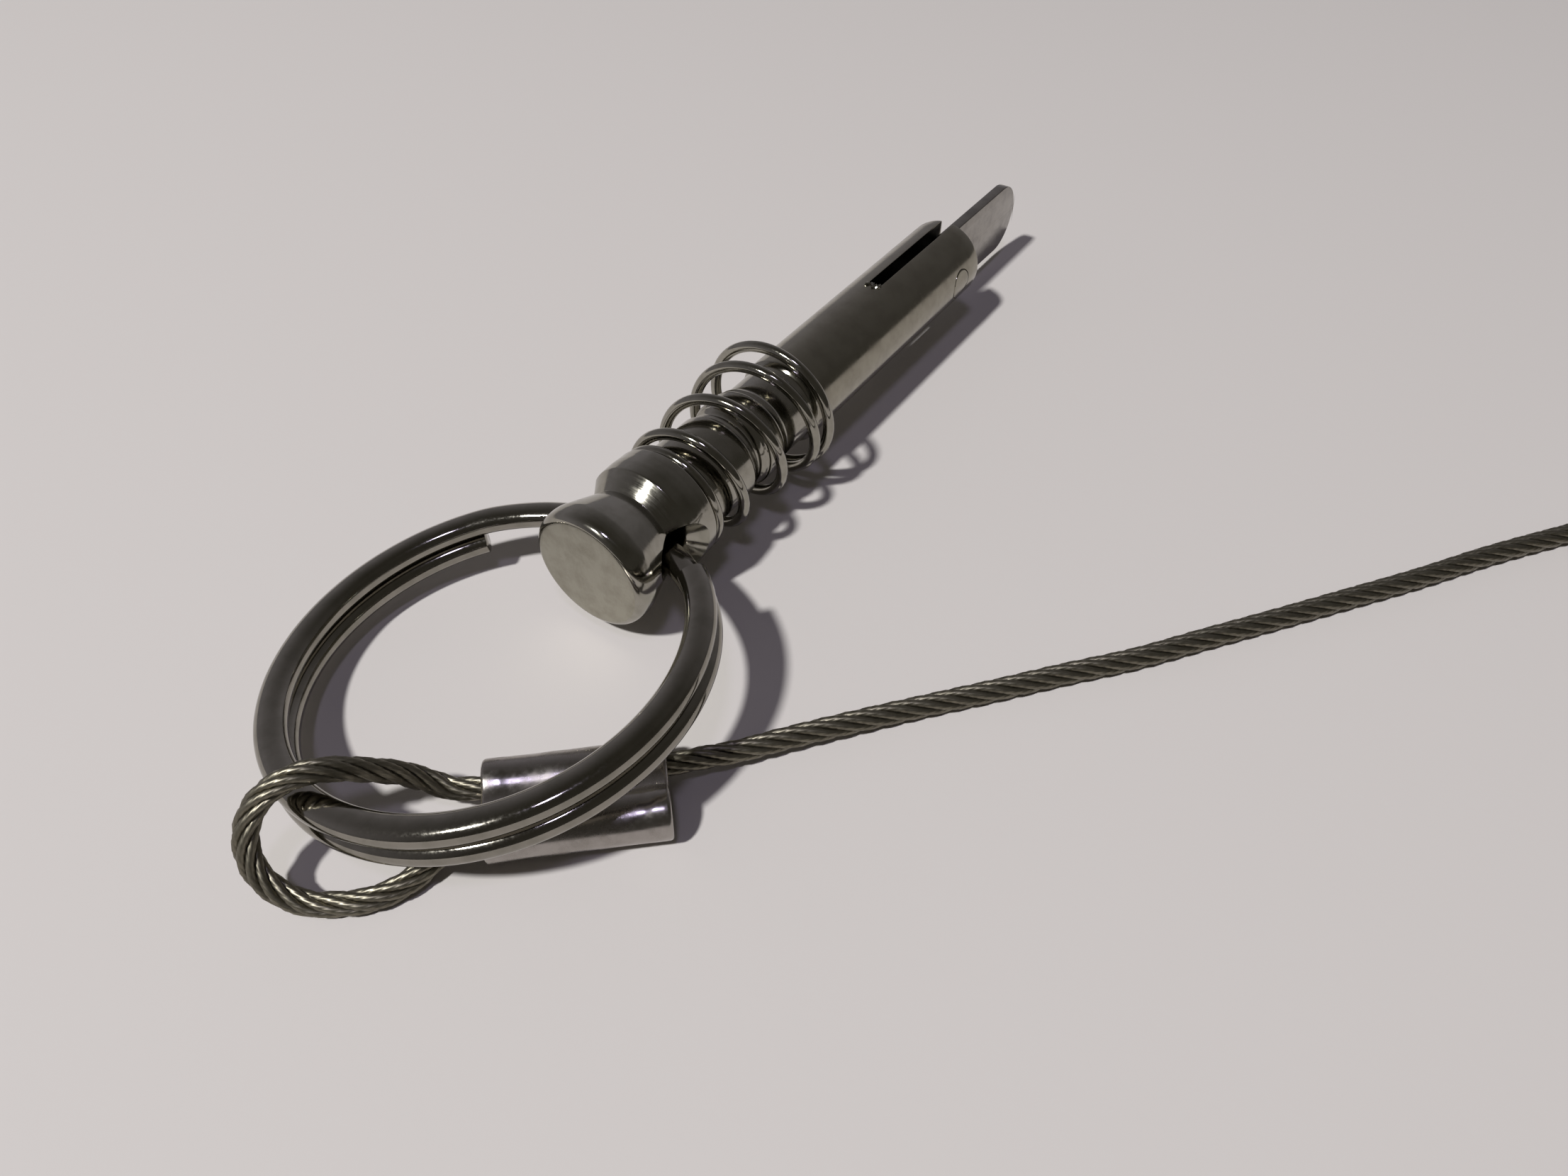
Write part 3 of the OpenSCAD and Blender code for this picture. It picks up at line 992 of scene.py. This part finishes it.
@dataclass
class SplitRing:
    """Two turns of flat-sided wire, one on the other, threaded through the pin's head."""

    hang_x: float = -16.0
    lean_deg: Point = (-10.5, -3.0, -2.3)
    mean_r: float = 12.05
    wire_w: float = 1.8
    wire_h: float = 1.4
    fullness: float = 2.15
    sides: int = 40
    half_step: float = 0.715
    upper_end_deg: float = 326.6
    lower_end_deg: float = 50.8
    cross_from_deg: float = 47.8
    cross_to_deg: float = -33.4
    step_deg: float = 1.0
    blur: int = 9
    end_scale: Pair = (0.86, 0.96)
    end_reach: Pair = (0.06, 0.02)

    def height(self, psi: float) -> float:
        """Follows the wire where it crosses from the lower turn to the upper one.

        Args:
            psi: The angle round the ring, in degrees.

        Returns:
            The wire's height over the ring's own plane.
        """
        middle = (self.cross_from_deg + self.cross_to_deg) / 2
        reach = (self.cross_from_deg - self.cross_to_deg) / 2
        swing = max(-reach, min(reach, psi - middle))
        return self.half_step * sin(radians(swing)) / sin(radians(reach))

    def section(self) -> list[Pair]:
        """Draws the wire's oval section.

        Returns:
            Its points, as (outwards, upwards) about its middle.
        """
        out = []
        for x, y in circle(self.sides):
            swell = (abs(x) ** self.fullness + abs(y) ** self.fullness) ** (-1 / self.fullness)
            out.append((self.wire_w / 2 * x * swell, self.wire_h / 2 * y * swell))
        return out

    def build(self) -> None:
        """Carries the wire's section round two turns, rounds both ends off and dresses the ring."""
        total = self.upper_end_deg + 360 - self.lower_end_deg
        count = int(total / self.step_deg)
        psi = np.array([self.upper_end_deg - total * i / count for i in range(count + 1)])
        high = np.array([self.height(p) for p in psi])
        kernel = np.hanning(self.blur) / np.hanning(self.blur).sum()
        high = np.convolve(np.pad(high, self.blur // 2, mode="edge"), kernel, mode="valid")
        psi, high = (np.pad(values, 2, mode="edge") for values in (psi, high))
        shrink, reach = np.ones(len(psi)), np.zeros(len(psi))
        shrink[[0, -1]], shrink[[1, -2]] = self.end_scale
        reach[:2] = self.end_reach
        reach[:-3:-1] = np.negative(self.end_reach)
        roll, pitch, yaw = self.lean_deg
        turn = Matrix.Translation((self.hang_x, 0, 0)) @ (turned(yaw, "Z") @ turned(pitch, "Y"))
        turn @= turned(roll, "X") @ Matrix.Translation((-self.mean_r, 0, 0))
        verts, section = [], self.section()
        for p, h, s, ahead in zip(psi, high, shrink, reach):
            a = radians(p) + ahead / self.mean_r
            for out, up in section:
                r = self.mean_r + out * s
                verts.append(turn @ Vector((r * cos(a), r * sin(a), h + up * s)))
        faces = rings_to_faces(len(psi), self.sides)
        piece = mesh_object("ring_wire_turns", verts, faces, 50)
        settle(piece, Body.RING, "ring_wire", "split_ring", finishes=[Steel.RING])


# ---- Spring


@dataclass
class ConeSpring:
    """A conical compression spring whose small end sits on the seat behind the shoulder."""

    turn_x: tuple[float, ...] = (-12.42, -10.75, -6.95, -3.3, -1.1)
    turn_r: tuple[float, ...] = (3.54, 3.9, 4.24, 4.62, 4.84)
    turn_rise: tuple[float, ...] = (0.0, 0.2, 0.56, 0.82, 0.89)
    first_turn: float = -0.45
    last_turn: float = 4.5
    wire_d: float = 0.75
    wire_sides: int = 22
    steps_per_turn: int = 72

    def spot(self, t: float) -> Point:
        """Follows the wire round the pin.

        Args:
            t: How many turns along the wire.

        Returns:
            The wire's middle, in millimetres.
        """
        a = radians(90 + 360 * t)
        low = ((1 - sin(a)) / 2) ** 2
        r = hermite(self.turn_r, t) - low * hermite(self.turn_rise, t)
        return hermite(self.turn_x, t), r * cos(a), r * sin(a)

    def build(self) -> None:
        """Builds the spring from its line and a swept round section, and dresses it."""
        tree, size, line = shape_tree("spring_wire", {"Wire radius": "NodeSocketFloat"})
        wire = swept(tree, line, round_profile(tree, self.wire_sides, size["Wire radius"]))
        close_tree(tree, wire, Steel.SPRING.get())
        count = int((self.last_turn - self.first_turn) * self.steps_per_turn)
        path = [self.spot(t) for t in np.linspace(self.first_turn, self.last_turn, count + 1)]
        piece = grow("cone_spring", path, tree, {"Wire radius": self.wire_d / 2 * MM})
        soften(piece, 50)
        settle(piece, Body.PIN, "spring_wire", "spring")


# ---- Drop nose


@dataclass
class DropNose:
    """The blade in the slot and the rivet that it swings on."""

    rivet_x: float = 21.0
    shank_end: float = 24.2
    tip_x: float = 36.3
    top: float = 2.1
    low: float = -3.0
    nose_low: float = -3.65
    tail_r: float = 2.2
    tip_r: Pair = (2.7, 2.9)
    bore_r: float = 1.2
    thickness: float = 0.88
    edge: float = 0.09
    rivet_r: float = 1.15
    shank_r: float = 3.175
    proud: float = 0.02
    # Where the painted slot shade on the blade's tail ends.
    slot_shade_x: float = 23.4

    def outline(self) -> list[Pair]:
        """Draws the blade from the side: a round tail, straight edges and a rounded tip.

        Returns:
            Its points, as (x, z).
        """
        tail = arc(self.rivet_x, self.low + self.tail_r, self.tail_r, 270, 90, 48)
        rise = [(21.4, self.low + 2 * self.tail_r), (22.2, 1.5), (22.3, self.top), (23.2, self.top)]
        upper, lower = self.tip_r
        tip = arc(self.tip_x - upper, self.top - upper, upper, 90, -5, 36)
        tip += arc(self.tip_x - lower, self.nose_low + lower, lower, 10, -90, 36)
        heel = [(self.shank_end + 1.6, self.nose_low + 0.1), (self.shank_end + 0.4, self.low)]
        return tail + bezier(rise, 10) + tip + heel

    def blade(self) -> None:
        """Builds the blade with its stamped edges rounded off, and dresses it."""
        curve = bpy.data.curves.new("blade_outline", "CURVE")
        curve.dimensions = "2D"
        curve.fill_mode = "BOTH"
        curve.extrude = (self.thickness / 2 - self.edge) * MM
        curve.bevel_depth = self.edge * MM
        curve.bevel_resolution = 3
        curve.offset = -self.edge * MM
        for loop in (self.outline(), arc(self.rivet_x, 0.0, self.bore_r, 0, 354, 59)):
            spline = curve.splines.new("POLY")
            spline.points.add(len(loop) - 1)
            for point, (x, z) in zip(spline.points, loop):
                point.co = (x * MM, z * MM, 0.0, 1.0)
            spline.use_cyclic_u = True
        source = placed("blade_source", curve)
        mesh = final_mesh(source)
        mesh.transform(turned(90, "X"))
        bpy.data.objects.remove(source)
        piece = placed("drop_nose", mesh)
        mesh.materials.clear()
        settle_normals(piece, 40)
        # The blade's tail inside the slot gets painted shade, a near-black steel.
        finishes = (Steel.STAMPED, Steel.SLOT_SHADE)
        paint(piece, finishes, lambda middle: finishes[middle.x < self.slot_shade_x])
        settle(piece, Body.BLADE, "blade_steel", "nose_blade")

    def rivet(self) -> None:
        """Builds the rivet, whose heads are ground to the shank's roundness, and dresses it."""
        sides, r = 64, self.rivet_r
        rim = [(-0.12, r + 0.01), (-0.03, r), (0.5 * self.proud, r - 0.02), (self.proud, r - 0.06)]
        rings = rim + [(self.proud, r * share) for share in (0.8, 0.5, 0.2)]
        verts = []
        for side in (-1, 1):
            for lift, x, z in spun(rings[::side], sides):
                y = side * (sqrt(self.shank_r**2 - z * z) + lift)
                verts.append((self.rivet_x + x, y, z))
        piece = mesh_object("nose_rivet", verts, rings_to_faces(2 * len(rings), sides), 40)
        settle(piece, Body.PIN, "rivet_steel", "blade_rivet", finishes=[Steel.GROUND])

    def build(self) -> None:
        """Builds the blade and the rivet."""
        self.blade()
        self.rivet()


# ---- Turned body


@dataclass
class TurnedBody:
    """The lathe-turned pin: head, waist, shoulder, ridges, shank and the slotted end."""

    face_x: float = -20.5
    shank_r: float = 3.175
    end_x: float = 24.2
    end_chamfer: float = 0.55
    slot_half: float = 0.5
    slot_root_x: float = 12.0
    saw_r: float = 15.0
    lip: float = 0.08
    hole_x: float = -16.0
    hole_r: float = 1.45
    rivet_x: float = 21.0
    seat_r: float = 1.23
    seat_y: Pair = (2.85, 3.6)
    flare_y: float = 2.5
    hole_sides: int = 96
    fine_x: Pair = (-18.9, -13.4)
    fine_step: float = 0.16
    arc_steps: int = 112
    slot_steps: int = 8
    wall_steps: int = 24

    def outline(self) -> list[Pair]:
        """Draws half of the pin's section, from the head's face to just before the slot.

        Returns:
            Its points, as (x, radius).
        """
        r = self.shank_r
        out = [(self.face_x, s) for s in (0.02, 1.0, 2.0, 3.0, 3.4)]
        out += bezier([(-20.5, 3.52), (-20.49, 3.84), (-20.2, 4.08), (-19.75, 4.1)], 18)
        out += bezier([(-19.6, 4.11), (-19.4, 4.11), (-19.2, 4.09), (-19.05, 4.06)], 6)
        cones = [(-18.95, 4.03, 0), (-18.8, 3.98, 0.1), (-16.35, 3.17, 0.06)]
        cones += [(-15.15, 4.01, 0.25), (-14.3, 4.05, 0)]
        out += rounded(cones, 6) + [(-13.9, 4.04), (-13.5, 4.01)]
        out += arc(-13.05, 3.8, 0.2, 84, 0, 8)
        out += [(-12.85, 3.5), (-12.85, 3.12), (-12.8, 3.1)]
        out += [(-11.98, 3.1), (-11.9, 3.125), (-11.82, r)]
        out += [(x, r) for x in (-11.0, -10.0, -9.0, -8.2)]
        out += arc(-7.7, r - 0.5, 0.5, 90, 45, 7) + arc(-6.6, 3.35, 0.6, 215, 325, 16)
        out += arc(-5.6, r - 0.4, 0.4, 140, 90, 7) + arc(-4.4, r - 0.5, 0.5, 90, 45, 7)
        out += arc(-3.3, 3.45, 0.6, 225, 270, 8) + [(-2.4, 2.85), (-1.4, 2.85)]
        out += rounded([(-0.9, 2.85, 0), (-0.35, 2.85, 0.15), (0.0, r, 0.15), (0.6, r, 0)], 5)[1:]
        out += [(x, r) for x in np.linspace(1.4, 11.4, 14)]
        fine = out[:1]
        for a, b in zip(out, out[1:]):
            close = self.fine_x[0] < b[0] < self.fine_x[1]
            n = ceil(dist(a, b) / self.fine_step) if close else 1
            dx, dr = b[0] - a[0], b[1] - a[1]
            fine += [(a[0] + dx * k / n, a[1] + dr * k / n) for k in range(1, n + 1)]
        return fine

    def root_at(self, z: float) -> float:
        """Where the saw's round edge stops the slot, at a height z."""
        return self.slot_root_x + self.saw_r - sqrt(self.saw_r**2 - z * z)

    def gap(self) -> float:
        """Half the angle that the slot takes from the shank."""
        return asin(self.slot_half / self.shank_r)

    def turns(self) -> list[float]:
        """Spaces the shank's vertices so that some fall on the slot's edges.

        Returns:
            Their angles about the axis.
        """
        g, half = self.gap(), pi / 2
        right = np.linspace(g - half, half - g, self.arc_steps + 1)[:-1]
        top = np.linspace(half - g, half + g, self.slot_steps + 1)[:-1]
        return [*right, *top, *(right + pi), *(top + pi)]

    def cheek(self, side: int, x: float | None, inset: float) -> list[Point]:
        """One closed ring round a cheek beside the slot.

        Args:
            side: 1 for the cheek on +Y and -1 for the other.
            x: Where the ring is, or None for the ring on the slot's root.
            inset: How far its outside is drawn in.

        Returns:
            The ring's points, always the same count.
        """
        r = self.shank_r - inset
        wall = self.slot_half + 0.4 * inset
        lip = 0.0 if x is None else self.lip
        half = pi / 2 - asin(wall / r)
        turn = np.linspace(lip / r - half, half - lip / r, self.arc_steps + 1)
        loop = [(r * cos(a), r * sin(a)) for a in turn]
        top = (wall, r * sin(half))
        start = (wall, top[1] - lip)
        soft = bezier([loop[-1], top, top, start], 4)[1:-1]
        flat = [(wall, z) for z in np.linspace(start[1], -start[1], self.wall_steps + 1)]
        loop = loop + soft + flat + [(y, -z) for y, z in reversed(soft)]
        return [(self.root_at(z) if x is None else x, side * y, side * z) for y, z in loop]

    def finish_at(self, middle: Vector) -> Steel:
        """Chooses the finish of one face.

        Args:
            middle: The face's middle, in millimetres.

        Returns:
            The finish.
        """
        x, y, z = middle
        in_slot = x > self.slot_root_x - 0.1 and abs(y) < self.slot_half + 0.005
        # Faces deep in the slot get painted shade, a near-black steel.
        if in_slot and abs(z) < self.shank_r - 0.2:
            return Steel.SLOT_SHADE
        if x < self.face_x + 0.01:
            return Steel.FACED
        return Steel.GROUND if x > 0.3 else Steel.TURNED

    def build(self) -> None:
        """Builds the body and its burr: turned rings, then a cheek on each side of the slot."""
        turn = self.turns()
        rings = [[(x, r * cos(a), r * sin(a)) for a in turn] for x, r in self.outline()]
        edge = [(self.shank_r * cos(a), self.shank_r * sin(a)) for a in turn]
        rings.append([(self.root_at(z), y, z) for y, z in edge])
        verts = [p for ring in rings for p in ring]
        faces = rings_to_faces(len(rings), len(turn))[:-1]
        self.slot_floor(verts, faces)
        plain = self.end_x - self.end_chamfer
        stations = [(None, 0.0), (13.0, 0.0)] + [(x, 0.0) for x in np.linspace(14, plain, 12)]
        for t in np.radians((25, 50, 75, 90)):
            inset = self.end_chamfer * (1 - cos(t))
            stations.append((plain + self.end_chamfer * sin(t), inset))
        for side in (1, -1):
            loops = [self.cheek(side, x, inset) for x, inset in stations]
            tube = rings_to_faces(len(loops), len(loops[0]), len(verts))
            verts += [p for loop in loops for p in loop]
            faces += tube[:-2] + tube[-1:]
        piece = mesh_object("turned_body", verts, faces, 30)
        self.drill(piece)
        finishes = (Steel.TURNED, Steel.FACED, Steel.GROUND, Steel.SLOT_SHADE)
        paint(piece, finishes, self.finish_at)
        self.burr()
        settle(piece, Body.PIN, "turned_steel", "pin_body")

    def burr(self) -> None:
        """Builds the ragged lip that the saw left across the slot's root, above and below."""
        draw = np.random.default_rng(7)
        count, sides, least, spread, speck = 17, 8, 0.07, 0.17, 0.01
        overhang, back, sway, flat = 1.24, 0.16, 0.12, 1.4
        verts, faces = [], []
        for side in (1, -1):
            size = least + spread * draw.random(count)
            size[[0, -1]] = speck
            rough = np.convolve(np.pad(size, 1, mode="edge"), (0.25, 0.5, 0.25), mode="valid")
            faces += rings_to_faces(count, sides, len(verts))
            for k, r in enumerate(rough):
                y = overhang * self.slot_half * (2 * k / (count - 1) - 1)
                z = sqrt(self.shank_r**2 - y * y)
                x = self.root_at(z) - back + sway * sin(9 * y)
                for c, s in circle(sides):
                    torn = r * (0.6 + 0.8 * draw.random())
                    verts.append((x + flat * torn * c, y, side * (z + torn * s)))
        piece = mesh_object("saw_burr", verts, faces, 12)
        settle(piece, Body.PIN, "turned_steel", finishes=[Steel.TURNED])

    def slot_floor(self, verts: list[Point], faces: list[tuple[int, ...]]) -> None:
        """Adds the slot's hollow root.

        Args:
            verts: The body's vertices so far.
            faces: The body's faces so far.
        """
        start, n = len(verts), self.slot_steps + 1
        top, gap = pi / 2, self.gap()
        across = [self.shank_r * cos(a) for a in np.linspace(top - gap, top + gap, n)]
        for f in np.linspace(1, -1, self.wall_steps + 1):
            for y in across:
                z = f * sqrt(self.shank_r**2 - y * y)
                verts.append((self.root_at(z), y, z))
        for i in range(self.wall_steps):
            for k in range(n - 1):
                a = start + i * n + k
                faces.append((a, a + 1, a + n + 1, a + n))

    def drill(self, piece: Piece) -> None:
        """Drills the cross hole, flared on each side, and the rivet's two shallow seats.

        Args:
            piece: The solid body.
        """
        flare = [(0, 0), (0.45, 0), (0.7, 0.3), (1.9, 1.1)]
        mouth = bezier([(self.flare_y + y, self.hole_r + lift) for y, lift in flare], 14)
        cuts = [(self.hole_x, [(-y, r) for y, r in reversed(mouth)] + mouth)]
        for side in (-1, 1):
            cuts.append((self.rivet_x, [(side * y, self.seat_r) for y in self.seat_y]))
        verts, faces = [], []
        for at, profile in cuts:
            faces += rings_to_faces(len(profile), self.hole_sides, len(verts))
            verts += [(at + x, y, z) for y, x, z in spun(profile, self.hole_sides)]
        cut_away(piece, mesh_object("drill", verts, faces), 16)


# ---- Everything


def main() -> None:
    """Builds the scene in order: camera and rope first, then the ring, the pin and its nose."""
    logging.basicConfig(level=logging.INFO, format="%(name)s: %(message)s")
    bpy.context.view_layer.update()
    Studio().build()
    for part in (Lanyard(), SplitRing(), ConeSpring(), DropNose(), TurnedBody()):
        part.build()
        log.info("built %s", type(part).__name__)


if __name__ == "__main__":
    main()
